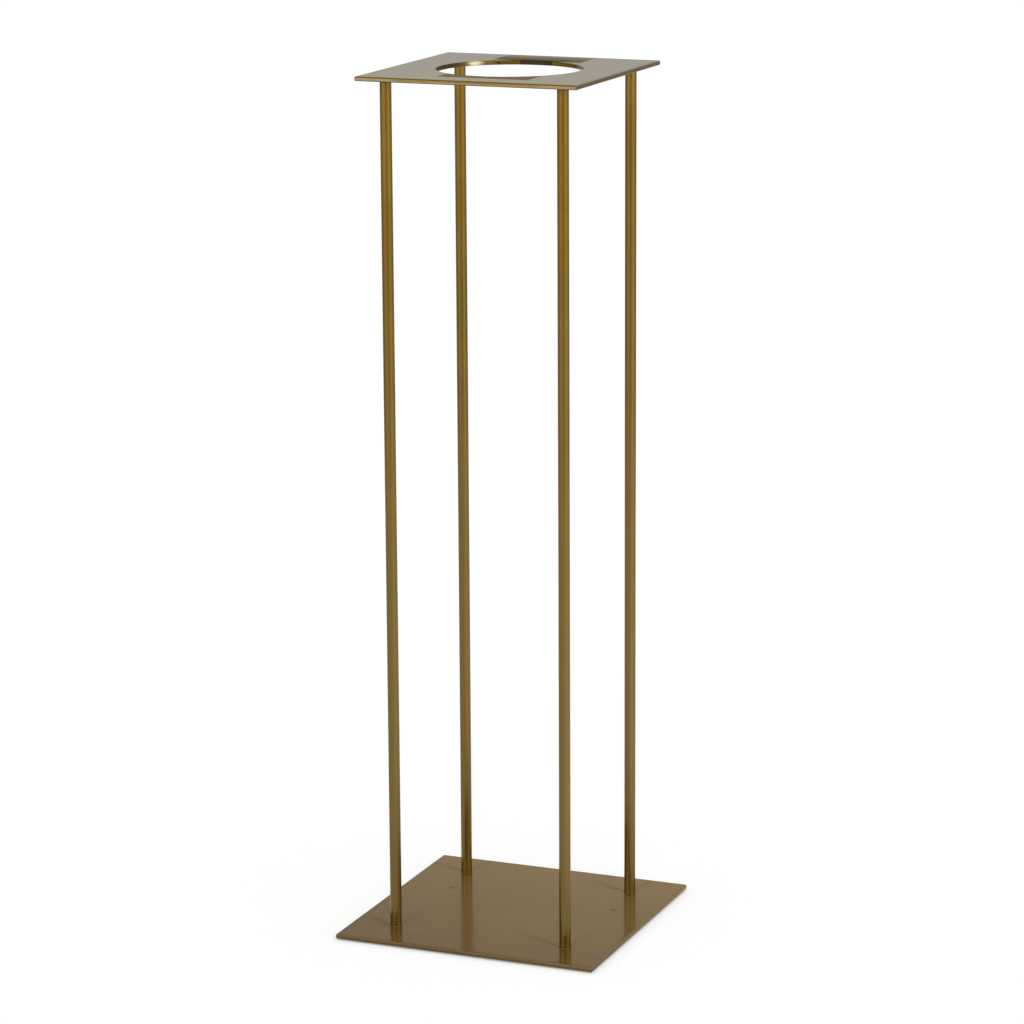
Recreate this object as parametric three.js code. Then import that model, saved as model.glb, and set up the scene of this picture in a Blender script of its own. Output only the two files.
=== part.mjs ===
// Pedestal column stand.
// Two square steel plates are held apart by four round rods near their corners.
// The upper plate has a round hole that a bowl or vase hangs in, and the wider
// lower plate stands on four thin pads. Each rod butts flat against both plates
// and is held by a fillet weld that runs right round it at either end.
// Frame: millimetres, +Z up, +X along the front edge, +Y towards the back. The
// origin is the point on the floor under the middle of the stand.

import * as THREE from 'three';

// Driving dimensions -------------------------------------------------------

const overallHeight = 756; // floor to the upper face of the top plate

const topSide = 200; // square top plate, side to side
const topThickness = 4;
const holeDiameter = 124; // round hole in the middle of the top plate

const baseSide = 241; // square base plate, side to side
const baseThickness = 4;

const plateCornerRadius = 1.5; // corners of both plates, seen from above
const plateEdgeEase = 1.2; // rounding of each plate's edges and of the hole's rim

const rodDiameter = 10;
const rodSpacing = 160; // between rod centres, both ways

const topWeldLeg = 2.2; // fillet under the top plate
const footWeldLeg = 0.8; // fillet on the base plate
const weldHollow = 0.36; // where the weld's curve pulls in to, as a share of its leg

const padDiameter = 22;
const padThickness = 1; // lifts the base plate off the floor
const padEdgeInset = 8; // bare border between a pad and the base plate's edges
const padEdgeEase = 0.3;

// Facets -------------------------------------------------------------------

const roundFacets = 32; // rods, welds and pads share their facets, so faces meet
const holeFacets = 96;
const cornerFacets = 4;
const easeFacets = 3;
const weldFacets = 4;

// Levels and places worked out from the sizes ------------------------------

const rodRadius = rodDiameter / 2;
const baseBottom = padThickness;
const baseTop = baseBottom + baseThickness;
const topBottom = overallHeight - topThickness;
const rodLength = topBottom - baseTop;
const rodOffset = rodSpacing / 2;
const padOffset = baseSide / 2 - padEdgeInset - padDiameter / 2;

const corners = [
  { name: 'front_left', x: -1, y: -1 },
  { name: 'front_right', x: 1, y: -1 },
  { name: 'back_left', x: -1, y: 1 },
  { name: 'back_right', x: 1, y: 1 },
];

// Finishes -----------------------------------------------------------------

const plateMetal = { color: 0x9a7f4b, roughness: 0.14, metalness: 1 };
const rodMetal = { color: 0x8f7238, roughness: 0.16, metalness: 1 };
const weldMetal = { color: 0x86693a, roughness: 0.3, metalness: 1 };
const padRubber = { color: 0x1d1c1a, roughness: 0.85, metalness: 0 };

// Helpers ------------------------------------------------------------------

const stand = new THREE.Group();

function addPiece(name, geometry, finish, x, y, z) {
  const mesh = new THREE.Mesh(geometry, new THREE.MeshStandardMaterial(finish));
  mesh.name = name;
  mesh.position.set(x, y, z);
  stand.add(mesh);
  return mesh;
}

// A square outline round the origin with its corners rounded by arcs.
function roundedSquare(side, radius) {
  const half = side / 2;
  const inner = half - radius;
  const outline = new THREE.Shape();
  outline.moveTo(-inner, -half);
  outline.lineTo(inner, -half);
  outline.absarc(inner, -inner, radius, -Math.PI / 2, 0, false);
  outline.lineTo(half, inner);
  outline.absarc(inner, inner, radius, 0, Math.PI / 2, false);
  outline.lineTo(-inner, half);
  outline.absarc(-inner, inner, radius, Math.PI / 2, Math.PI, false);
  outline.lineTo(-half, -inner);
  outline.absarc(-inner, -inner, radius, Math.PI, 1.5 * Math.PI, false);
  return outline;
}

// The circle of a hole, with its own facet count.
function circleHole(diameter, facets) {
  const points = [];
  for (let i = 0; i < facets; i += 1) {
    const angle = (-2 * Math.PI * i) / facets;
    points.push(new THREE.Vector2(Math.cos(angle), Math.sin(angle)).multiplyScalar(diameter / 2));
  }
  return new THREE.Path(points);
}

// A flat plate with eased edges, from z = 0 up to its thickness.
function plate(outline, thickness) {
  const ease = Math.min(plateEdgeEase, 0.45 * thickness);
  const geometry = new THREE.ExtrudeGeometry(outline, {
    depth: thickness - 2 * ease,
    bevelEnabled: true,
    bevelThickness: ease,
    bevelSize: ease,
    bevelOffset: -ease,
    bevelSegments: easeFacets,
    curveSegments: cornerFacets,
    steps: 1,
  });
  return geometry.translate(0, 0, ease);
}

// A profile of [radius, height] points turned round the Z axis.
function turned(profile) {
  const points = profile.map(([radius, height]) => new THREE.Vector2(radius, height));
  return new THREE.LatheGeometry(points, roundFacets).rotateX(Math.PI / 2);
}

// A ring of weld metal lying on z = 0 round a rod, with a hollow face that
// sweeps from its toe on the plate to its top on the rod.
function weldRing(leg) {
  const curve = new THREE.QuadraticBezierCurve(
    new THREE.Vector2(rodRadius + leg, 0),
    new THREE.Vector2(rodRadius + weldHollow * leg, weldHollow * leg),
    new THREE.Vector2(rodRadius, leg),
  );
  const face = curve.getPoints(weldFacets).map((point) => [point.x, point.y]);
  return turned([[rodRadius, 0], ...face, [rodRadius, 0]]);
}

// Plates -------------------------------------------------------------------

const topOutline = roundedSquare(topSide, plateCornerRadius);
topOutline.holes.push(circleHole(holeDiameter, holeFacets));
addPiece('top_plate', plate(topOutline, topThickness), plateMetal, 0, 0, topBottom);

const baseOutline = roundedSquare(baseSide, plateCornerRadius);
addPiece('base_plate', plate(baseOutline, baseThickness), plateMetal, 0, 0, baseBottom);

// Rods, their welds and the pads, one of each at every corner --------------

const rodShape = new THREE.CylinderGeometry(rodRadius, rodRadius, rodLength, roundFacets);
rodShape.rotateX(Math.PI / 2);

const footWeldShape = weldRing(footWeldLeg);
const topWeldShape = weldRing(topWeldLeg).rotateX(Math.PI);

const padRadius = padDiameter / 2;
const padShape = turned([
  [0, 0],
  [padRadius - padEdgeEase, 0],
  [padRadius, padEdgeEase],
  [padRadius, padThickness],
  [0, padThickness],
]);

for (const corner of corners) {
  const rodX = corner.x * rodOffset;
  const rodY = corner.y * rodOffset;
  addPiece(`${corner.name}_rod`, rodShape, rodMetal, rodX, rodY, baseTop + rodLength / 2);
  addPiece(`${corner.name}_foot_weld`, footWeldShape, weldMetal, rodX, rodY, baseTop);
  addPiece(`${corner.name}_top_weld`, topWeldShape, weldMetal, rodX, rodY, topBottom);
  addPiece(`${corner.name}_pad`, padShape, padRubber, corner.x * padOffset, corner.y * padOffset, 0);
}

export default stand;
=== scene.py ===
"""Looks for a pedestal column stand of polished steel under antique-brass plating.

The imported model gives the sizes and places. Here each solid gets a finely rounded
surface in the same place: plates with eased edges, round rods, rippled welds and
soft-edged pads. Every finish is procedural, and the stand is lit on a pale floor.
Units are metres.
"""

import math

import bpy
import numpy as np
from mathutils import Matrix, Vector


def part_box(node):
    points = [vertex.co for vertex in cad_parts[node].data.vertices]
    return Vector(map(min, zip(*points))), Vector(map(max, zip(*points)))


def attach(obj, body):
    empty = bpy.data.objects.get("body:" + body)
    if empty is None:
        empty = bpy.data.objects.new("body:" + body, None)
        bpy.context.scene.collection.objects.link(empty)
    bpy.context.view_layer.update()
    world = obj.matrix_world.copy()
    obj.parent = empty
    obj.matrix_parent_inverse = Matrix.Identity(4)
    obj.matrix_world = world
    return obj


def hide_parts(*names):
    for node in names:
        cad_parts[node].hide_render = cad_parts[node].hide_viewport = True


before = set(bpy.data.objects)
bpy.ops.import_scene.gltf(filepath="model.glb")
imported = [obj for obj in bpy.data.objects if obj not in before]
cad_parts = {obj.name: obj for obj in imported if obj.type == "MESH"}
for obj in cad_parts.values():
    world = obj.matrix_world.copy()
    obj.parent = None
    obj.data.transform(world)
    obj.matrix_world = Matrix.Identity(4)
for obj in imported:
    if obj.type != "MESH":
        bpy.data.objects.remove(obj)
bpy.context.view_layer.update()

MM = 0.001

# Camera, from the photograph's perspective ----------------------------------

FRAME_PIXELS = 1024
FOCAL_PIXELS = 3849.9
SENSOR_WIDTH = 36.0
VIEW_AZIMUTH = 22.276
VIEW_ELEVATION = 12.982
VIEW_ROLL = -0.324
VIEW_DISTANCE = 3356.5 * MM
AIM_HEIGHT = 378.4 * MM
AIM_RIGHT = -0.134 * MM
AIM_UP = -9.22 * MM

# Sizes that the frame's boxes don't give ------------------------------------

HOLE_RADIUS = 62.0 * MM
CORNER_RADIUS = 1.5 * MM
EDGE_EASE = 1.2 * MM
PAD_EASE = 0.3 * MM
SUPPORT_RIM = 0.12 * MM  # narrow border that keeps a flat face's shading flat
WELD_HOLLOW = 0.36
WELD_RIPPLES = 30
WELD_RIPPLE_DEPTH = 0.07 * MM
WELD_RIPPLE_BEND = 2.4  # how far a ripple leads at the middle of the face, in radians
WELD_RIPPLE_WANDER = 0.5  # unevenness of the ripples round the rod, in radians
WELD_SLANT = 0.7  # share of a ripple that goes out, and the share that goes up
SMOOTH_ANGLE = 40.0  # edges sharper than this many degrees stay sharp

CORNERS = ("front_left", "front_right", "back_left", "back_right")

# Colours, as the share of light that each finish sends back ------------------

PLATING_BRIGHT = (0.225, 0.14, 0.029)
PLATING_DEEP = (0.19, 0.112, 0.018)
# Pale brass: the painted highlights on the plates' edges, and a pale line on the top face.
PALE_BRASS = (0.42, 0.32, 0.185)
# Pale gold for a painted highlight on the hole's wall.
PLATING_SHINE = (0.72, 0.62, 0.4)
PLATING_GREYED = (0.195, 0.132, 0.042)
TOP_WARM = (0.252, 0.154, 0.024)
TOP_COOL = (0.172, 0.104, 0.017)
BASE_BRIGHT = (0.262, 0.158, 0.05)
BASE_DEEP = (0.225, 0.131, 0.038)
BASE_PALE = (0.34, 0.22, 0.08)
# Dark brown: the welds' deep tone, and also the painted shade at the rod ends and the painted rod
# shadows.
WELD_TINT_AND_SHADE = (0.07, 0.045, 0.014)
WELD_BRIGHT = (0.11, 0.072, 0.022)
BAND_OLIVE = (0.085, 0.068, 0.008)
BAND_GREY = (0.16, 0.13, 0.075)
# Near-black brown: the painted shade on the top plate's edge, the painted reflection on the hole's
# wall, and a dark line on the top face.
DARK_BROWN = (0.04, 0.032, 0.026)
# Grey brown for the painted shade on the base plate's edge.
GREY_SHADE = (0.07, 0.064, 0.045)
FOOT_OLIVE = (0.188, 0.15, 0.031)
FOOT_WELD_BRIGHT = (0.135, 0.099, 0.021)
FOOT_WELD_DEEP = (0.105, 0.076, 0.016)
RUBBER_DARK = (0.018, 0.017, 0.016)
RUBBER_GREY = (0.05, 0.048, 0.045)

# Faint marks on the plates, as places in plan.
TOP_MARKS = ((-93 * MM, 14 * MM), (-58 * MM, -47 * MM))
BASE_MARKS = ((-75 * MM, 35 * MM), (83 * MM, 29 * MM), (-89 * MM, -82 * MM))

# Shapes -----------------------------------------------------------------------


def add_object(name, data):
    """Puts an object with that data in the scene."""
    made = bpy.data.objects.new(name, data)
    bpy.context.scene.collection.objects.link(made)
    return made


def shell(name, rings, closed):
    """A closed surface through rings of points, an array of ring, place round the ring, xyz.

    Each ring joins the next, and each point joins its neighbour round the ring. A closed
    shell joins its last ring to its first. An open one gets a flat fan to a middle point
    at either end.
    """
    ring_count, around = rings.shape[:2]
    here = np.arange(ring_count * around).reshape(ring_count, around)
    below = np.roll(here, -1, axis=0) if closed else here[1:]
    above = here if closed else here[:-1]
    beside = [np.roll(row, -1, axis=1) for row in (below, above)]
    quads = np.stack([above, below, *beside], axis=-1)
    points = rings.reshape(-1, 3)
    faces = quads.reshape(-1, 4).tolist()
    if not closed:
        first, last = len(points), len(points) + 1
        points = np.vstack([points, rings[0].mean(axis=0), rings[-1].mean(axis=0)])
        start, end = here[0], here[-1]
        faces += np.stack([np.full(around, first), start, np.roll(start, -1)], axis=-1).tolist()
        faces += np.stack([np.full(around, last), np.roll(end, -1), end], axis=-1).tolist()
    mesh = bpy.data.meshes.new(name)
    mesh.from_pydata(points.tolist(), [], faces)
    mesh.shade_smooth()
    mesh.set_sharp_from_angle(angle=math.radians(SMOOTH_ANGLE))
    return add_object(name, mesh)


def arc(steps):
    """Angles from 0 to a quarter turn, both ends included."""
    return np.linspace(0, math.pi / 2, steps + 1)


def rounded_square(half, side_steps=48, corner_steps=12):
    """The outline of a square with round corners, as core points and outward normals.

    A point of the outline set in by d is core + (corner radius - d) * normal. The core of a
    side runs along a smaller square in steps that are even as seen from the middle, and the
    core of a corner stays put while its normal turns a quarter turn.
    """
    inner = half - CORNER_RADIUS
    turn = arc(corner_steps) - math.pi / 2
    corner_core = np.tile([inner, -inner], (corner_steps + 1, 1))
    corner_normal = np.stack([np.cos(turn), np.sin(turn)], axis=-1)
    along = np.tan(np.linspace(-math.pi / 4, math.pi / 4, side_steps + 1)[1:-1]) * inner
    side_core = np.stack([np.full_like(along, inner), along], axis=-1)
    side_normal = np.tile([1.0, 0.0], (len(along), 1))
    core = np.vstack([corner_core, side_core])
    normal = np.vstack([corner_normal, side_normal])
    turns = [np.array([[c, s], [-s, c]]) for c, s in ((1, 0), (0, 1), (-1, 0), (0, -1))]
    return np.vstack([core @ t for t in turns]), np.vstack([normal @ t for t in turns])


def eased_section(bottom, top, ease, steps=8):
    """Inset and height down a plate's edge.

    A flat rim, a quarter round, the upright wall, a quarter round and a flat rim again.
    """
    turn = arc(steps)
    upper = np.stack([ease * (1 - np.sin(turn)), top - ease * (1 - np.cos(turn))], axis=-1)
    lower = np.stack([upper[::-1, 0], bottom + top - upper[::-1, 1]], axis=-1)
    rim = ease + SUPPORT_RIM
    return np.vstack([[rim, top], upper, lower, [rim, bottom]])


def outline_rings(core, normal, section):
    """Rings of a rounded square, one for each inset and height of the section."""
    inset, height = section[:, 0], section[:, 1]
    flat = core[None] + (CORNER_RADIUS - inset)[:, None, None] * normal[None]
    level = np.broadcast_to(height[:, None, None], flat.shape[:2] + (1,))
    return np.concatenate([flat, level], axis=-1)


def round_rings(angles, section, centre=(0.0, 0.0)):
    """Rings of a circle at the given angles, one for each radius and height of the section."""
    radius, height = section[:, 0][:, None], section[:, 1][:, None]
    x = centre[0] + radius * np.cos(angles)
    y = centre[1] + radius * np.sin(angles)
    return np.stack([x, y, np.broadcast_to(height, x.shape)], axis=-1)


def full_turn(steps):
    """Angles of one full turn, the last one left out."""
    return np.linspace(0, 2 * math.pi, steps, endpoint=False)


def middle(node):
    """The point in plan at the middle of a node's box."""
    low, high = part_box(node)
    return (low.x + high.x) / 2, (low.y + high.y) / 2


def dress(piece, node, material):
    """Puts a made piece in a node's place, on the one rigid body."""
    piece.data.materials.append(material)
    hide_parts(node)
    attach(piece, "root")


def holed_plate(node):
    """A square plate with a round hole, both rims eased.

    The rings run down the outer edge, across the underside to the hole, up the hole's wall
    and back across the top face. The hole's points lie at the outline's own polar angles.
    """
    low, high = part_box(node)
    core, normal = rounded_square(high.x)
    outer = eased_section(low.z, high.z, EDGE_EASE)
    wall = outer[::-1] + [HOLE_RADIUS, 0]
    outline = core + CORNER_RADIUS * normal
    angles = np.arctan2(outline[:, 1], outline[:, 0])
    rings = np.concatenate([outline_rings(core, normal, outer), round_rings(angles, wall)])
    return shell(node + "_finished", rings, closed=True)


def solid_plate(node):
    """A square plate with eased edges, its flat faces closed by fans from the middle."""
    low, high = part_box(node)
    core, normal = rounded_square(high.x)
    rings = outline_rings(core, normal, eased_section(low.z, high.z, EDGE_EASE))
    return shell(node + "_finished", rings, closed=False)


def round_bar(node, steps=96):
    """A round bar from the node's lowest to its highest level."""
    low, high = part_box(node)
    radius = (high.x - low.x) / 2
    section = np.array([[radius, high.z], [radius, low.z]])
    rings = round_rings(full_turn(steps), section, middle(node))
    return shell(node + "_finished", rings, closed=False)


def weld_bead(node, rod, plate_is_above, steps=240, face_steps=10):
    """A fillet of weld metal round a rod, its hollow face rippled all the way round.

    The face is a quadratic curve from the toe on the plate to the top on the rod. Ripples of
    cosine form, bent forward along the face, are cut into it. They fade out at both ends, and
    only cut inwards, so that the bead stays inside its solid.
    """
    low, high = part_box(node)
    rod_low, rod_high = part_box(rod)
    rod_radius = (rod_high.x - rod_low.x) / 2
    leg_out = (high.x - low.x) / 2 - rod_radius
    leg_up = high.z - low.z
    share = np.linspace(0, 1, face_steps + 1)[:, None]
    out = (1 - share) ** 2 + 2 * share * (1 - share) * WELD_HOLLOW
    up = share**2 + 2 * share * (1 - share) * WELD_HOLLOW
    angles = full_turn(steps)[None]
    arch = np.sin(math.pi * share)
    lead = WELD_RIPPLE_BEND * arch + WELD_RIPPLE_WANDER * np.sin(3 * angles)
    wave = np.cos(WELD_RIPPLES * angles + lead)
    swell = WELD_SLANT * WELD_RIPPLE_DEPTH * (wave - 1) * arch
    radius = rod_radius + np.maximum(out * leg_out + swell, 0)
    rise = np.maximum(up * leg_up + swell, 0)
    radius = np.vstack([radius, np.full((1, steps), rod_radius)])
    rise = np.vstack([rise, np.zeros((1, steps))])
    level = high.z - rise if plate_is_above else low.z + rise
    x0, y0 = middle(rod)
    rings = np.stack([x0 + radius * np.cos(angles), y0 + radius * np.sin(angles), level], axis=-1)
    return shell(node + "_finished", rings if plate_is_above else rings[::-1], closed=True)


def floor_pad(node, steps=64):
    """A thin round pad with a soft lower edge."""
    low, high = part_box(node)
    radius = (high.x - low.x) / 2
    turn = arc(5)
    inset, rise = PAD_EASE * (1 - np.cos(turn)), PAD_EASE * (1 - np.sin(turn))
    lower = np.stack([radius - inset, low.z + rise], axis=-1)
    section = np.vstack([[radius, high.z], lower, [radius - PAD_EASE - SUPPORT_RIM, low.z]])
    rings = round_rings(full_turn(steps), section, middle(node))
    return shell(node + "_finished", rings, closed=False)


# Shader helpers ----------------------------------------------------------------


class Nodes:
    """Adds and joins shader nodes in one tree. A value is a number, a colour or a socket."""

    def __init__(self, tree):
        self.tree = tree

    def add(self, kind, settings=None, **inputs):
        """A node of that kind."""
        made = self.tree.nodes.new(kind)
        for key, value in (settings or {}).items():
            setattr(made, key, value)
        self.set_named(made, inputs)
        return made

    def group(self, tree, **inputs):
        """A node group's outputs, with its inputs set."""
        made = self.tree.nodes.new("ShaderNodeGroup")
        made.node_tree = tree
        self.set_named(made, inputs)
        return made.outputs

    def set_named(self, node, inputs):
        """Sets a node's inputs, which are named with _ for a space."""
        for key, value in inputs.items():
            self.set(node.inputs[key.replace("_", " ")], value)

    def set(self, socket, value):
        """Links an input to a socket, or gives it a value of its own."""
        if isinstance(value, bpy.types.NodeSocket):
            self.tree.links.new(value, socket)
        elif socket.type == "RGBA" and len(value) == 3:
            socket.default_value = (*value, 1.0)
        else:
            socket.default_value = value

    def math(self, operation, *values):
        """What a math node makes of the values."""
        made = self.tree.nodes.new("ShaderNodeMath")
        made.operation = operation
        for socket, value in zip(made.inputs, values):
            self.set(socket, value)
        return made.outputs[0]

    def plus(self, first, *rest):
        """The sum of two or more values."""
        for value in rest:
            first = self.math("ADD", first, value)
        return first

    def minus(self, first, second):
        """The first value less the second."""
        return self.math("SUBTRACT", first, second)

    def times(self, first, *rest):
        """The product of two or more values."""
        for value in rest:
            first = self.math("MULTIPLY", first, value)
        return first

    def size(self, value):
        """A value without its sign."""
        return self.math("ABSOLUTE", value)

    def length(self, x, y):
        """How far a place in plan is from the middle."""
        return self.math("SQRT", self.plus(self.times(x, x), self.times(y, y)))

    def ramp(self, value, low, high, out_low=0.0, out_high=1.0, smooth=True):
        """A value carried from low..high to out_low..out_high, and held beyond them."""
        made = self.tree.nodes.new("ShaderNodeMapRange")
        made.interpolation_type = "SMOOTHSTEP" if smooth else "LINEAR"
        for index, item in enumerate((value, low, high, out_low, out_high)):
            self.set(made.inputs[index], item)
        return made.outputs[0]

    def between(self, value, start, full, fading, gone):
        """A mask that rises from start to full and falls again from fading to gone."""
        return self.times(self.ramp(value, start, full), self.ramp(value, gone, fading))

    def blend(self, factor, first, second):
        """A colour that goes from first to second with factor."""
        made = self.tree.nodes.new("ShaderNodeMix")
        made.data_type = "RGBA"
        for index, item in ((0, factor), (6, first), (7, second)):
            self.set(made.inputs[index], item)
        return made.outputs[2]

    def split(self, vector):
        """The x, y and z of a vector."""
        return self.add("ShaderNodeSeparateXYZ", Vector=vector).outputs[:3]

    def noise(self, vector, scale, detail=3.0, roughness=0.5):
        """Cloudy noise from about 0 to 1. Scale counts its swings along a metre."""
        made = self.add("ShaderNodeTexNoise", Vector=vector, Scale=scale)
        self.set_named(made, {"Detail": detail, "Roughness": roughness})
        return made.outputs[0]

    def waver(self, vector, scale, width, detail=3.0, roughness=0.5):
        """Noise that swings evenly round zero, over about the given width."""
        return self.times(self.minus(self.noise(vector, scale, detail, roughness), 0.5), width)


def new_group(name, inputs, outputs):
    """A shader node group with named sockets, and its inner tree's helper, ins and outs."""
    tree = bpy.data.node_groups.new(name, "ShaderNodeTree")
    kinds = {"value": "NodeSocketFloat", "vector": "NodeSocketVector", "color": "NodeSocketColor"}
    for label, kind in inputs:
        tree.interface.new_socket(label, in_out="INPUT", socket_type=kinds[kind])
    for label, kind in outputs:
        tree.interface.new_socket(label, in_out="OUTPUT", socket_type=kinds[kind])
    ins = tree.nodes.new("NodeGroupInput").outputs
    outs = tree.nodes.new("NodeGroupOutput").inputs
    return tree, Nodes(tree), ins, outs


CLOUD_SHARE = 0.72  # the clouds' part in the tone; the rest is mottling
MOTTLE_FINENESS = 14.0  # the mottling's scale over the clouds'


def plating_tone_group():
    """Plating that drifts between a bright and a deep tone in wide clouds and fine mottling."""
    tree, n, ins, outs = new_group(
        "Plating tone",
        [("Vector", "vector"), ("Cloud scale", "value"), ("Bright", "color"), ("Deep", "color")],
        [("Color", "color")],
    )
    clouds = n.ramp(n.noise(ins["Vector"], ins["Cloud scale"], 4.0, 0.55), 0.36, 0.66)
    mottle_scale = n.times(ins["Cloud scale"], MOTTLE_FINENESS)
    mottle = n.noise(ins["Vector"], mottle_scale, 3.0, 0.6)
    factor = n.plus(n.times(clouds, CLOUD_SHARE), n.times(mottle, 1 - CLOUD_SHARE))
    n.set(outs["Color"], n.blend(factor, ins["Deep"], ins["Bright"]))
    return tree


PATCH_SCALE = 22.0
SMEAR_SCALE, SMEAR_SHARE = 9.0, 0.35


def polish_lines_group():
    """Fine parallel polishing lines, cut into patches, over a wide faint smear."""
    tree, n, ins, outs = new_group(
        "Polish lines",
        [("Vector", "vector"), ("Stretch", "vector"), ("Smooth", "value"), ("Spread", "value")],
        [("Roughness", "value"), ("Height", "value")],
    )
    stretched = n.add("ShaderNodeVectorMath", {"operation": "MULTIPLY"})
    n.set(stretched.inputs[0], ins["Vector"])
    n.set(stretched.inputs[1], ins["Stretch"])
    lines = n.noise(stretched.outputs[0], 1.0, 4.0, 0.65)
    patches = n.ramp(n.noise(ins["Vector"], PATCH_SCALE, 3.0, 0.6), 0.35, 0.7)
    lined = n.times(n.size(n.minus(lines, 0.5)), patches)
    smear = n.noise(ins["Vector"], SMEAR_SCALE, 2.0, 0.5)
    rise = n.times(n.plus(lined, n.times(smear, SMEAR_SHARE)), ins["Spread"])
    n.set(outs["Roughness"], n.plus(ins["Smooth"], rise))
    n.set(outs["Height"], lines)
    return tree


# How far in from a plate's side each mask starts and is full.
EDGE_FADE = (1.25 * MM, 0.9 * MM)
BORDER_FADE = (6 * MM, 1 * MM)
SIDE_LINE_FADE = (1.5 * MM, 1.2 * MM)
HIGHLIGHT_BREAK_SCALE = 60.0


def plate_edge_group():
    """Masks for a square plate's edge: all of it, its painted highlight, its sides, and their top
    line.

    Depth is 0 at the top face and 1 at the underside. The painted highlight runs along the front
    and back, low on the edge, and is broken up by noise. Near the corners it climbs higher.
    The left and right sides have none, and a thin painted highlight line along their top instead.
    """
    tree, n, ins, outs = new_group(
        "Plate edge",
        [("Vector", "vector"), ("Half side", "value"), ("Top", "value"), ("Thickness", "value")],
        [("Edge", "value"), ("Edge highlight", "value"), ("Side", "value"), ("Side line", "value")],
    )
    x, y, z = n.split(ins["Vector"])
    across, along = n.size(x), n.size(y)
    inset = n.minus(ins["Half side"], n.math("MAXIMUM", across, along))
    depth = n.math("DIVIDE", n.minus(ins["Top"], z), ins["Thickness"])
    outer = n.ramp(inset, *EDGE_FADE)
    side = n.ramp(n.minus(across, along), -1 * MM, 1 * MM)

    border = n.times(n.ramp(inset, *BORDER_FADE), n.ramp(depth, 0.1, 0.0, 0.0, 0.6))
    edge = n.times(n.math("MAXIMUM", border, outer), n.ramp(depth, 0.75, 0.92, 1.0, 1.8))

    rim = n.times(n.ramp(depth, 0.42, 0.64), n.ramp(depth, 0.92, 0.74, 0.1, 1.0))
    corner_share = n.math("DIVIDE", n.math("MINIMUM", across, along), ins["Half side"])
    climb = n.times(n.ramp(depth, 0.2, 0.5, 0.0, 0.7), n.ramp(depth, 0.95, 0.8))
    climb = n.times(n.ramp(corner_share, 0.45, 0.8), climb)
    broken = n.ramp(n.noise(ins["Vector"], HIGHLIGHT_BREAK_SCALE, 4.0, 0.6), 0.25, 0.6, 0.5, 1.0)
    highlit = n.times(n.math("MAXIMUM", rim, climb), n.minus(1.0, side), outer, broken)

    side_line = n.times(n.ramp(inset, *SIDE_LINE_FADE), n.ramp(depth, 0.3, 0.12), side)
    for socket, mask in zip(outs, (edge, highlit, side, side_line)):
        n.set(socket, mask)
    return tree


tone_group = plating_tone_group()
lines_group = polish_lines_group()
edge_group = plate_edge_group()

# Finishes ------------------------------------------------------------------------


def empty_material(name):
    """A material with no nodes yet, and its tree's helper."""
    material = bpy.data.materials.new(name)
    material.use_nodes = True
    material.node_tree.nodes.clear()
    return material, Nodes(material.node_tree)


def new_material(name):
    """A material with a Principled shader, and its tree's helper and the object's coordinates."""
    material, n = empty_material(name)
    shader = n.add("ShaderNodeBsdfPrincipled")
    n.add("ShaderNodeOutputMaterial", Surface=shader.outputs[0])
    return material, n, shader, n.add("ShaderNodeTexCoord").outputs["Object"]


def set_finish(n, shader, color, roughness, metallic=1.0):
    """Gives the shader its colour and roughness. Metallic is the same all over."""
    n.set(shader.inputs["Base Color"], color)
    n.set(shader.inputs["Roughness"], roughness)
    shader.inputs["Metallic"].default_value = metallic


def set_bump(n, shader, height, strength, distance):
    """Fine relief that is too small for the mesh."""
    bump = n.add("ShaderNodeBump", Height=height, Strength=strength, Distance=distance)
    n.set(shader.inputs["Normal"], bump.outputs[0])


PLATE_STRETCH = (9.0, 420.0, 420.0)  # polishing lines run along X
EDGE_DULLING = 0.1
SIDE_LINE_SHARE = 0.5


def plate_material(name, node, bright, deep, smooth, highlight_share, shade_color, front_shade, side_shade):
    """Polished plating on a plate: clouded tone, polish lines, painted highlight and shade on
    edges.

    Gives what is needed to add more to it: the material, its tree's helper, shader and
    coordinates, and the colour and roughness so far.
    """
    low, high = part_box(node)
    material, n, shader, place = new_material(name)
    tone = n.group(tone_group, Vector=place, Cloud_scale=9.0, Bright=bright, Deep=deep)
    polish = n.group(lines_group, Vector=place, Stretch=PLATE_STRETCH, Smooth=smooth, Spread=0.08)
    edge = n.group(
        edge_group, Vector=place, Half_side=high.x, Top=high.z, Thickness=high.z - low.z)
    # Painted shade: the edge and a narrow border of the top face darken, most towards the
    # underside, and more on the left and right sides than on the front and back.
    shaded = n.times(edge["Edge"], n.ramp(edge["Side"], 0.0, 1.0, front_shade, side_shade))
    color = n.blend(shaded, tone["Color"], shade_color)
    # Painted highlights: pale brass on the front and back edges' lower round, and a thin line along
    # the top of the left and right sides.
    color = n.blend(n.times(edge["Edge highlight"], highlight_share), color, PALE_BRASS)
    color = n.blend(n.times(edge["Side line"], SIDE_LINE_SHARE), color, PALE_BRASS)
    roughness = n.plus(polish["Roughness"], n.times(edge["Edge"], EDGE_DULLING))
    set_bump(n, shader, polish["Height"], 0.04, 0.02 * MM)
    return material, n, shader, place, color, roughness


MARK_RADIUS = 5 * MM


def round_marks(n, place, marks):
    """One mask for faint round marks with ragged borders."""
    mask = 0.0
    x, y, _ = n.split(place)
    for mark_x, mark_y in marks:
        distance = n.length(n.minus(x, mark_x), n.minus(y, mark_y))
        ragged = n.plus(distance, n.waver(place, 160.0, MARK_RADIUS, 3.0, 0.6))
        mask = n.plus(mask, n.ramp(ragged, MARK_RADIUS, 0.3 * MARK_RADIUS))
    return mask


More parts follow.
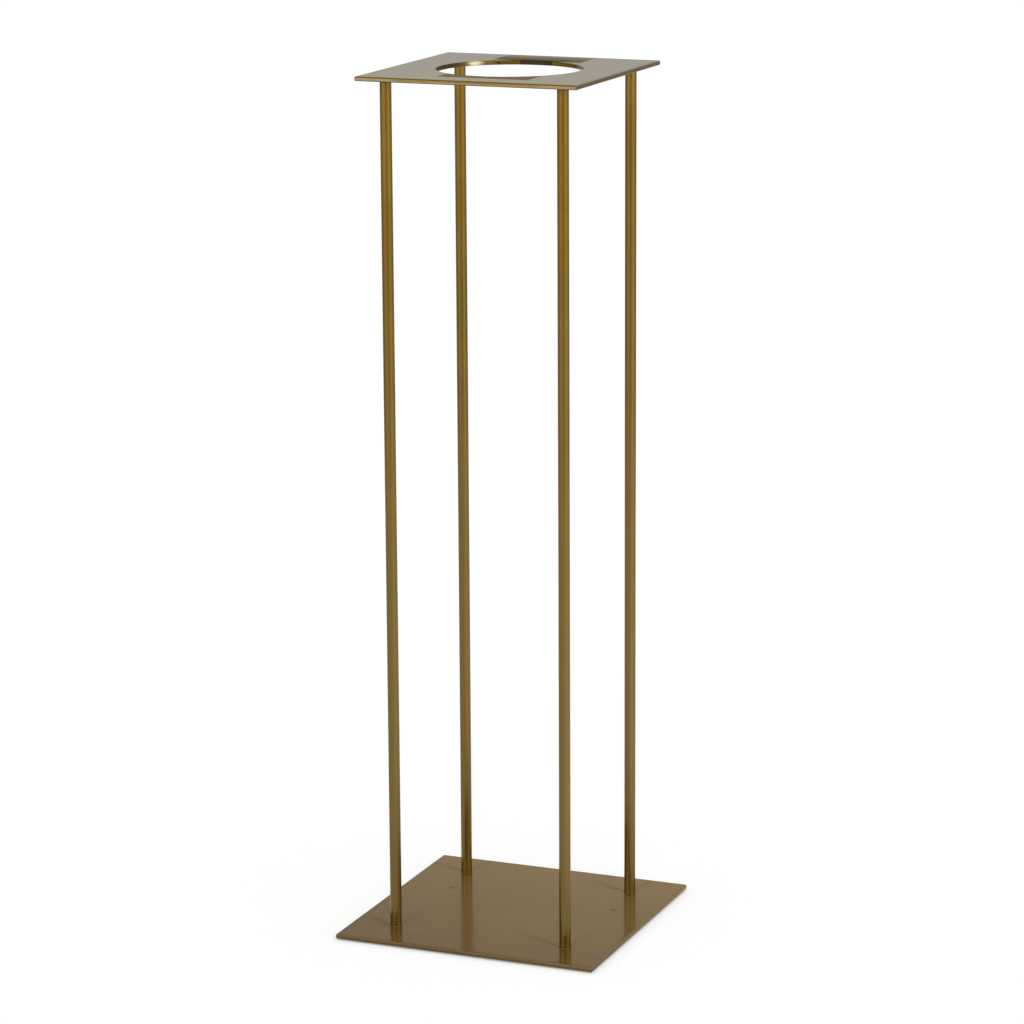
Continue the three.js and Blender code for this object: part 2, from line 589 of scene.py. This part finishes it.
# Painted shadows of the rods, cast over the base plate.
ROD_SHADOWS = ((159.0, 1.0), (80.0, 0.6))  # direction in plan, from +X towards +Y, and strength
ROD_SHADOW_LENGTH = 62 * MM
ROD_SHADOW_WIDTH, ROD_SHADOW_SPREAD = 4 * MM, 0.09
ROD_SHADOW_BEND = 9 * MM


def painted_rod_shadows(n, place, rod_offset):
    """Two faint soft painted shadows of each rod, which run off from its foot over the base plate.

    Places are counted from the nearest rod. A shadow lies along its own direction, widens
    slowly with the distance from the rod, bends a little, and dies away.
    """
    dx, dy = (
        n.minus(level, n.times(n.math("SIGN", level), rod_offset))
        for level in n.split(place)[:2]
    )
    mask = 0.0
    for angle, share in ROD_SHADOWS:
        c, s = math.cos(math.radians(angle)), math.sin(math.radians(angle))
        along = n.plus(n.times(dx, c), n.times(dy, s))
        across = n.minus(n.times(dy, c), n.times(dx, s))
        away = n.size(n.plus(across, n.waver(place, 24.0, ROD_SHADOW_BEND, 2.0)))
        width = n.plus(n.times(along, ROD_SHADOW_SPREAD), ROD_SHADOW_WIDTH)
        fading = n.ramp(along, ROD_SHADOW_LENGTH, 6 * MM, smooth=False)
        starting = n.ramp(along, 2 * MM, 6 * MM)
        mask = n.plus(mask, n.times(n.ramp(away, width, 0.0), fading, starting, share))
    return mask


STAIN_AND_SHADOW_DULLING = 0.06


def faint_stain_and_shadow(n, mask, share, color, roughness):
    """Darkens and dulls the plating a little where the mask is."""
    color = n.blend(n.times(mask, share), color, WELD_TINT_AND_SHADE)
    return color, n.plus(roughness, n.times(mask, STAIN_AND_SHADOW_DULLING))


# The duller bands on the top face: their left and right ends, then each one's front line and
# the place behind it from which the band deepens towards that line.
FRONT_BAND_ENDS, FRONT_BAND = (-37 * MM, 48 * MM), (-78 * MM, -30 * MM)
BACK_BAND_ENDS, BACK_BAND = (-42 * MM, 42.5 * MM), (58 * MM, 100 * MM)
BAND_LEFT_FADE, BAND_RIGHT_FADE, BAND_FRONT_FADE = 6 * MM, 1.5 * MM, 1 * MM
FRONT_BAND_GONE = (0.0, -20 * MM)  # where the front band has ended, and where it is full
BAND_DULLING = 0.6
FRONT_BAND_SHARE, BACK_BAND_SHARE = 0.75, 0.85
DARK_LINE_SHARE, PALE_LINE_SHARE = 0.4, 0.3
# Thin lines in the back band's right part: where each rises and falls, from front to back.
PALE_LINE = (64 * MM, 67 * MM, 70 * MM, 75 * MM)
DARK_LINE = (58 * MM, 59 * MM, 62 * MM, 65 * MM)
LINES_START = (24 * MM, 34 * MM)


def darker_bands(n, place, top, color, roughness):
    """Two darker, duller bands on the top face, before and behind the hole, with crisp right ends.

    The front one darkens towards its front line. The back one darkens from the plate's back
    edge towards the hole, and ends on the right in a faint pale line over a dark one.
    """
    x, y, z = n.split(place)
    top_face = n.ramp(z, top - 1 * MM, top - 0.3 * MM)
    front_ends, back_ends = (
        n.between(x, left, left + BAND_LEFT_FADE, right - BAND_RIGHT_FADE, right)
        for left, right in (FRONT_BAND_ENDS, BACK_BAND_ENDS)
    )
    front_rise, back_rise = (
        n.ramp(y, line, line + BAND_FRONT_FADE) for line in (FRONT_BAND[0], BACK_BAND[0])
    )
    deepening = n.ramp(y, FRONT_BAND[1], FRONT_BAND[0], 0.75, 1.0)
    front = n.times(front_ends, front_rise, deepening, n.ramp(y, *FRONT_BAND_GONE), top_face)
    deepening = n.ramp(y, BACK_BAND[1], BACK_BAND[0], 0.2, 1.0)
    back = n.times(back_ends, back_rise, deepening, top_face)
    right_part = n.times(n.ramp(x, *LINES_START), back_ends)
    pale = n.times(n.between(y, *PALE_LINE), right_part, top_face)
    dark = n.times(n.between(y, *DARK_LINE), right_part)
    color = n.blend(n.times(front, FRONT_BAND_SHARE), color, BAND_GREY)
    color = n.blend(n.times(back, BACK_BAND_SHARE), color, BAND_OLIVE)
    color = n.blend(n.times(dark, DARK_LINE_SHARE), color, DARK_BROWN)
    color = n.blend(n.times(pale, PALE_LINE_SHARE), color, PALE_BRASS)
    return color, n.plus(roughness, n.times(n.plus(front, back), BAND_DULLING))


# Places round the hole's wall, in degrees from +X towards +Y.
DARK_REFLECTION_ANGLE, DARK_REFLECTION_HALF_ANGLE = 90.0, 15.0
SHINE_ANGLE, SHINE_HALF_ANGLE = 141.0, 10.0
DARK_REFLECTION_SOFTNESS = 2.0
ANGLE_WAVER = 4.0
WALL_ENDS = (58.0, 74.0)  # from the painted reflection's middle, where the wall turns browner
WALL_FADE = (1.3 * MM, 1.0 * MM)  # out from the hole's radius
WALL_SHARE, DARK_REFLECTION_SHARE, SHINE_SHARE, ENDS_SHARE = 0.4, 0.92, 0.8, 0.85
DARK_REFLECTION_ROUGHENING, ENDS_ROUGHENING = 0.35, 0.5


def hole_wall(n, place, color, roughness):
    """The hole's wall: a dark painted reflection on its far side, a painted highlight left of it,
    brown ends.
    """
    x, y, _ = n.split(place)
    wall = n.ramp(n.length(x, y), *(HOLE_RADIUS + reach for reach in WALL_FADE))
    degrees = n.times(n.math("ARCTAN2", y, x), 180 / math.pi)
    angle = n.plus(degrees, n.waver(place, 200.0, ANGLE_WAVER))
    from_dark_reflection = n.size(n.minus(angle, DARK_REFLECTION_ANGLE))
    from_shine = n.size(n.minus(angle, SHINE_ANGLE))
    darkened = n.times(wall, n.ramp(from_dark_reflection, DARK_REFLECTION_HALF_ANGLE, DARK_REFLECTION_HALF_ANGLE - DARK_REFLECTION_SOFTNESS))
    shine = n.times(wall, n.ramp(from_shine, SHINE_HALF_ANGLE, 0.0))
    ends = n.times(wall, n.ramp(from_dark_reflection, *WALL_ENDS))
    color = n.blend(n.times(wall, WALL_SHARE), color, WELD_TINT_AND_SHADE)
    # Painted reflection: a near-black patch on the far side of the wall.
    color = n.blend(n.times(darkened, DARK_REFLECTION_SHARE), color, DARK_BROWN)
    # Painted highlight: a pale bright spot on the wall, left of the dark reflection.
    color = n.blend(n.times(shine, SHINE_SHARE), color, PLATING_SHINE)
    color = n.blend(n.times(ends, ENDS_SHARE), color, WELD_TINT_AND_SHADE)
    rougher = n.plus(n.times(darkened, DARK_REFLECTION_ROUGHENING), n.times(ends, ENDS_ROUGHENING))
    return color, n.plus(roughness, rougher)


# Where the top plate's tone starts to turn and has turned, from front to back.
WARM_FADE = (-20 * MM, -95 * MM)
COOL_FADE = (10 * MM, 90 * MM)
FLAT_FADE = (0.4 * MM, 0.05 * MM)  # down from the top face
TOP_MARK_SHARE = 0.3


def top_plate_material():
    """The top plate's plating: warmer to the front, with bands, marks and the hole's wall."""
    material, n, shader, place, color, roughness = plate_material(
        "top_plating", "top_plate", PLATING_BRIGHT, PLATING_DEEP, smooth=0.09,
        highlight_share=0.72, shade_color=DARK_BROWN, front_shade=0.38, side_shade=0.42)
    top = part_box("top_plate")[1].z
    _, y, z = n.split(place)
    flat = n.ramp(z, *(top - depth for depth in FLAT_FADE))
    color = n.blend(n.times(flat, n.ramp(y, *WARM_FADE)), color, TOP_WARM)
    color = n.blend(n.times(flat, n.ramp(y, *COOL_FADE)), color, TOP_COOL)
    marks = round_marks(n, place, TOP_MARKS)
    color, roughness = faint_stain_and_shadow(n, marks, TOP_MARK_SHARE, color, roughness)
    color, roughness = darker_bands(n, place, top, color, roughness)
    color, roughness = hole_wall(n, place, color, roughness)
    set_finish(n, shader, color, roughness)
    return material


HAZE_SCALE, HAZE_ROUGHNESS = 1400.0, 0.48
HAZE_CUT = (0.5, 0.54)  # noise levels at which a grain starts and is full
PALE_SLANT = 0.3  # how far X counts in the fade to the paler tone
PALE_FADE = (-115 * MM, 150 * MM)
BASE_MARK_AND_SHADOW_SHARE = 0.5


def base_plate_material(rod_offset):
    """The base plate's plating: paler to the back right, hazy, with marks and painted rod shadows.

    The haze is a fine scatter of duller grains between the polished ones.
    """
    material, n, shader, place, color, roughness = plate_material(
        "base_plating", "base_plate", BASE_BRIGHT, BASE_DEEP, smooth=0.1,
        highlight_share=0.1, shade_color=GREY_SHADE, front_shade=0.45, side_shade=0.7)
    grains = n.ramp(n.noise(place, HAZE_SCALE, 2.0), *HAZE_CUT)
    roughness = n.ramp(grains, 0.0, 1.0, roughness, HAZE_ROUGHNESS, smooth=False)
    x, y, _ = n.split(place)
    far = n.plus(n.times(x, PALE_SLANT), y)
    color = n.blend(n.ramp(far, *PALE_FADE, smooth=False), color, BASE_PALE)
    # Real marks, together with the rods' painted shadows.
    darkened = n.plus(round_marks(n, place, BASE_MARKS), painted_rod_shadows(n, place, rod_offset))
    color, roughness = faint_stain_and_shadow(n, darkened, BASE_MARK_AND_SHADOW_SHARE, color, roughness)
    set_finish(n, shader, color, roughness)
    return material


ROD_STRETCH = (900.0, 900.0, 14.0)  # polishing lines run along the bar
GREYING = (0.1, 0.2)  # below the head and above the foot, where greying starts and is full
FOOT_SHADE_REACH, HEAD_SHADE_REACH, FOOT_FADE = 14 * MM, 10 * MM, 45 * MM  # reaches from the rod's ends
END_SHADE_SHARE, FOOT_OLIVE_SHARE = 0.3, 0.8


def rod_material(foot, head):
    """Drawn and polished bar: lines along it, a greyer lower part, painted shade at both ends."""
    material, n, shader, place = new_material("rod_plating")
    tone = n.group(
        tone_group, Vector=place, Cloud_scale=14.0, Bright=PLATING_BRIGHT, Deep=PLATING_DEEP)
    polish = n.group(lines_group, Vector=place, Stretch=ROD_STRETCH, Smooth=0.16, Spread=0.12)
    height = n.split(place)[2]
    lower = n.ramp(height, head - GREYING[0], foot + GREYING[1], smooth=False)
    level = n.plus(height, n.waver(place, 90.0, 8 * MM))
    # Painted shade: the bar darkens towards both ends, where it meets the plates.
    ends = n.math(
        "MAXIMUM", n.ramp(level, foot + FOOT_SHADE_REACH, foot), n.ramp(level, head - HEAD_SHADE_REACH, head))
    color = n.blend(lower, tone["Color"], PLATING_GREYED)
    color = n.blend(n.times(ends, END_SHADE_SHARE), color, WELD_TINT_AND_SHADE)
    olive = n.ramp(level, foot + FOOT_FADE, foot, 0.0, FOOT_OLIVE_SHARE)
    color = n.blend(olive, color, FOOT_OLIVE)
    set_finish(n, shader, color, polish["Roughness"])
    set_bump(n, shader, polish["Height"], 0.05, 0.02 * MM)
    return material


WELD_CLOUD_SCALE, GRIT_SCALE = 160.0, 1800.0
GRAIN_SCALE, DUST_SCALE = 2600.0, 240.0


def weld_material(name, bright, deep):
    """Weld metal under the same plating, duller and browner than the bar."""
    material, n, shader, place = new_material(name)
    tone = n.group(tone_group, Vector=place, Cloud_scale=WELD_CLOUD_SCALE, Bright=bright, Deep=deep)
    grit = n.noise(place, GRIT_SCALE, 3.0, 0.6)
    set_finish(n, shader, tone["Color"], n.ramp(grit, 0.3, 0.7, 0.32, 0.5))
    set_bump(n, shader, grit, 0.25, 0.05 * MM)
    return material


def pad_material():
    """Dull black rubber with a fine moulded grain and grey dust in it."""
    material, n, shader, place = new_material("pad_rubber")
    grain = n.noise(place, GRAIN_SCALE, 4.0, 0.7)
    dust = n.ramp(n.noise(place, DUST_SCALE, 4.0, 0.6), 0.45, 0.75)
    color = n.blend(dust, RUBBER_DARK, RUBBER_GREY)
    set_finish(n, shader, color, n.ramp(grain, 0.3, 0.7, 0.75, 0.95), metallic=0.0)
    set_bump(n, shader, grain, 0.4, 0.08 * MM)
    return material


# Pieces ------------------------------------------------------------------------------

rod_foot, rod_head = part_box("base_plate")[1].z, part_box("top_plate")[0].z

top_finish = top_plate_material()
base_finish = base_plate_material(abs(middle("front_right_rod")[0]))
rod_finish = rod_material(rod_foot, rod_head)
top_weld_finish = weld_material("top_weld_plating", WELD_BRIGHT, WELD_TINT_AND_SHADE)
foot_weld_finish = weld_material("foot_weld_plating", FOOT_WELD_BRIGHT, FOOT_WELD_DEEP)
pad_finish = pad_material()

dress(holed_plate("top_plate"), "top_plate", top_finish)
dress(solid_plate("base_plate"), "base_plate", base_finish)
for corner in CORNERS:
    rod, pad = corner + "_rod", corner + "_pad"
    dress(round_bar(rod), rod, rod_finish)
    for end, finish in (("top", top_weld_finish), ("foot", foot_weld_finish)):
        weld = corner + "_" + end + "_weld"
        dress(weld_bead(weld, rod, plate_is_above=end == "top"), weld, finish)
    dress(floor_pad(pad), pad, pad_finish)

# Camera --------------------------------------------------------------------------------


def make_camera():
    """A camera on the photograph's line of sight, aimed near the middle of the stand."""
    azimuth, elevation, roll = (math.radians(v) for v in (VIEW_AZIMUTH, VIEW_ELEVATION, VIEW_ROLL))
    back = Vector((
        math.sin(azimuth) * math.cos(elevation),
        -math.cos(azimuth) * math.cos(elevation),
        math.sin(elevation),
    ))
    level_right = Vector((math.cos(azimuth), math.sin(azimuth), 0.0))
    level_up = back.cross(level_right)
    right = level_right * math.cos(roll) + level_up * math.sin(roll)
    up = level_up * math.cos(roll) - level_right * math.sin(roll)
    place = Vector((0, 0, AIM_HEIGHT)) + back * VIEW_DISTANCE + right * AIM_RIGHT + up * AIM_UP
    data = bpy.data.cameras.new("view")
    data.sensor_width = SENSOR_WIDTH
    data.lens = FOCAL_PIXELS / FRAME_PIXELS * SENSOR_WIDTH
    data.clip_end = 60.0
    camera = add_object("view", data)
    turned = Matrix((right, up, back)).transposed().to_4x4()
    camera.matrix_world = Matrix.Translation(place) @ turned
    bpy.context.scene.camera = camera


make_camera()

# Floor, world and lamps -------------------------------------------------------------------

FLOOR_REACH = 24.0
FLOOR_PAPER = (0.8, 0.8, 0.8)
FLOOR_GLOW = 0.24
POOL_PLAIN = 0.16
POOL_MORE = 0.34
POOL_TOWARDS, POOL_NARROWNESS = 50.0, 3.0
POOL_START = (0.14, 0.5)
WORLD_LEVEL = 0.88
SUN_LEVEL = 0.12
SUN_SPREAD = 60.0
SUN_AZIMUTH = 30.0
SUN_RISE = 2.2  # height gained for each unit of level way towards the sun

SCREEN_RADIUS = 2.0
SCREEN_TOP = 2.4
SCREEN_FADE = 1.1
SCREEN_COLOR = (0.98, 0.965, 0.885)
SCREEN_GREY = 0.58
# Soft lamps behind the screen: azimuth from the camera, glow outside and inside the lamp's
# own heights, and how narrow the glow is. Then the heights at which a lamp rises and falls.
SCREEN_LAMPS = ((56.0, 0.85, 2.9, 4.5), (-45.0, 0.58, 2.8, 4.5))
LAMP_HEIGHTS = (0.56, 0.72, 0.86, 1.02)


def facing(azimuth):
    """The level direction from the stand towards an azimuth, in degrees from the camera's."""
    turn = math.radians(VIEW_AZIMUTH + azimuth)
    return Vector((math.sin(turn), -math.cos(turn), 0.0))


def level_direction(n, x, y):
    """The level direction from the middle of the stand to a place."""
    direction = n.add("ShaderNodeVectorMath", {"operation": "NORMALIZE"})
    n.set(direction.inputs[0], n.add("ShaderNodeCombineXYZ", X=x, Y=y).outputs[0])
    return direction.outputs[0]


def lobe(n, direction, azimuth, narrowness):
    """max(0, cosine of the angle between a direction and an azimuth's) ** narrowness."""
    towards = n.add("ShaderNodeVectorMath", {"operation": "DOT_PRODUCT"})
    n.set(towards.inputs[0], direction)
    n.set(towards.inputs[1], facing(azimuth))
    cosine = n.math("MAXIMUM", towards.outputs["Value"], 0.0)
    return n.math("POWER", cosine, narrowness)


def floor_glow(n):
    """The floor's own glow: plain as seen straight, and a soft pool of light in reflections.

    The pool is low close to the stand, strongest ahead of it to the right, and gone behind it
    to the left.
    """
    path = n.add("ShaderNodeLightPath").outputs
    mirrored = n.math("MAXIMUM", path["Is Glossy Ray"], path["Is Transmission Ray"])
    x, y, _ = n.split(n.add("ShaderNodeTexCoord").outputs["Object"])
    direction = level_direction(n, x, y)
    ahead = lobe(n, direction, POOL_TOWARDS, POOL_NARROWNESS)
    behind = lobe(n, direction, POOL_TOWARDS - 180, 1.0)
    pool = n.times(n.plus(POOL_PLAIN, n.times(ahead, POOL_MORE)), n.minus(1.0, behind))
    pool = n.times(pool, n.ramp(n.length(x, y), *POOL_START), mirrored)
    return n.plus(n.times(path["Is Camera Ray"], FLOOR_GLOW), pool)


def make_floor():
    """A wide pale floor. It is seen as white, and it still takes the stand's shadow."""
    mesh = bpy.data.meshes.new("studio_floor")
    r = FLOOR_REACH
    mesh.from_pydata([(-r, -r, 0), (r, -r, 0), (r, r, 0), (-r, r, 0)], [], [(0, 1, 2, 3)])
    floor = add_object("studio_floor", mesh)
    material, n = empty_material("pale_floor")
    paper = n.add("ShaderNodeBsdfDiffuse", Color=FLOOR_PAPER)
    glow = n.add("ShaderNodeEmission", Strength=floor_glow(n))
    both = n.add("ShaderNodeAddShader")
    n.set(both.inputs[0], paper.outputs[0])
    n.set(both.inputs[1], glow.outputs[0])
    n.add("ShaderNodeOutputMaterial", Surface=both.outputs[0])
    mesh.materials.append(material)


def make_world():
    """A plain pale room."""
    world = bpy.data.worlds.new("studio")
    world.use_nodes = True
    background = world.node_tree.nodes["Background"]
    background.inputs["Color"].default_value = (1.0, 1.0, 1.0, 1.0)
    background.inputs["Strength"].default_value = WORLD_LEVEL
    bpy.context.scene.world = world


def make_screen():
    """A round grey screen far outside the view, which only reflections see.

    It is a ring of upright panels. Soft lamps stand behind it, and each adds glow * max(0,
    cosine of the angle from its own direction) ** narrowness, more within the lamp's own
    heights than outside them. The screen's upper part fades out into the room.
    """
    steps = full_turn(96)
    low = SCREEN_RADIUS * np.stack([np.cos(steps), np.sin(steps), 0 * steps], axis=-1)
    high = low + [0, 0, SCREEN_TOP]
    here = np.arange(len(steps))
    beside = np.roll(here, -1)
    quads = np.stack([here, here + len(steps), beside + len(steps), beside], axis=-1)
    mesh = bpy.data.meshes.new("round_screen")
    mesh.from_pydata(np.vstack([low, high]).tolist(), [], quads.tolist())
    screen = add_object("round_screen", mesh)
    screen.visible_camera = False
    screen.visible_diffuse = False
    screen.visible_shadow = False
    material, n = empty_material("screen_cloth")
    x, y, z = n.split(n.add("ShaderNodeTexCoord").outputs["Object"])
    direction = level_direction(n, x, y)
    lit = n.between(z, *LAMP_HEIGHTS)
    glow = SCREEN_GREY
    for azimuth, faint, full, narrowness in SCREEN_LAMPS:
        strength = n.ramp(lit, 0.0, 1.0, faint, full, smooth=False)
        glow = n.plus(glow, n.times(lobe(n, direction, azimuth, narrowness), strength))
    cloth = n.add("ShaderNodeEmission", Color=SCREEN_COLOR, Strength=glow)
    clear = n.add("ShaderNodeBsdfTransparent")
    mix = n.add("ShaderNodeMixShader", Fac=n.ramp(z, SCREEN_FADE, SCREEN_TOP))
    n.set(mix.inputs[1], cloth.outputs[0])
    n.set(mix.inputs[2], clear.outputs[0])
    n.add("ShaderNodeOutputMaterial", Surface=mix.outputs[0])
    mesh.materials.append(material)


def make_sun():
    """A wide soft sun from the front right, high up, so that the light has a direction."""
    data = bpy.data.lights.new("soft_sun", "SUN")
    data.energy = SUN_LEVEL * math.pi
    data.angle = math.radians(SUN_SPREAD)
    towards = facing(SUN_AZIMUTH) + Vector((0, 0, SUN_RISE))
    add_object("soft_sun", data).rotation_euler = towards.to_track_quat("Z", "Y").to_euler()


make_floor()
make_world()
make_screen()
make_sun()

bpy.context.scene.view_settings.view_transform = "Standard"
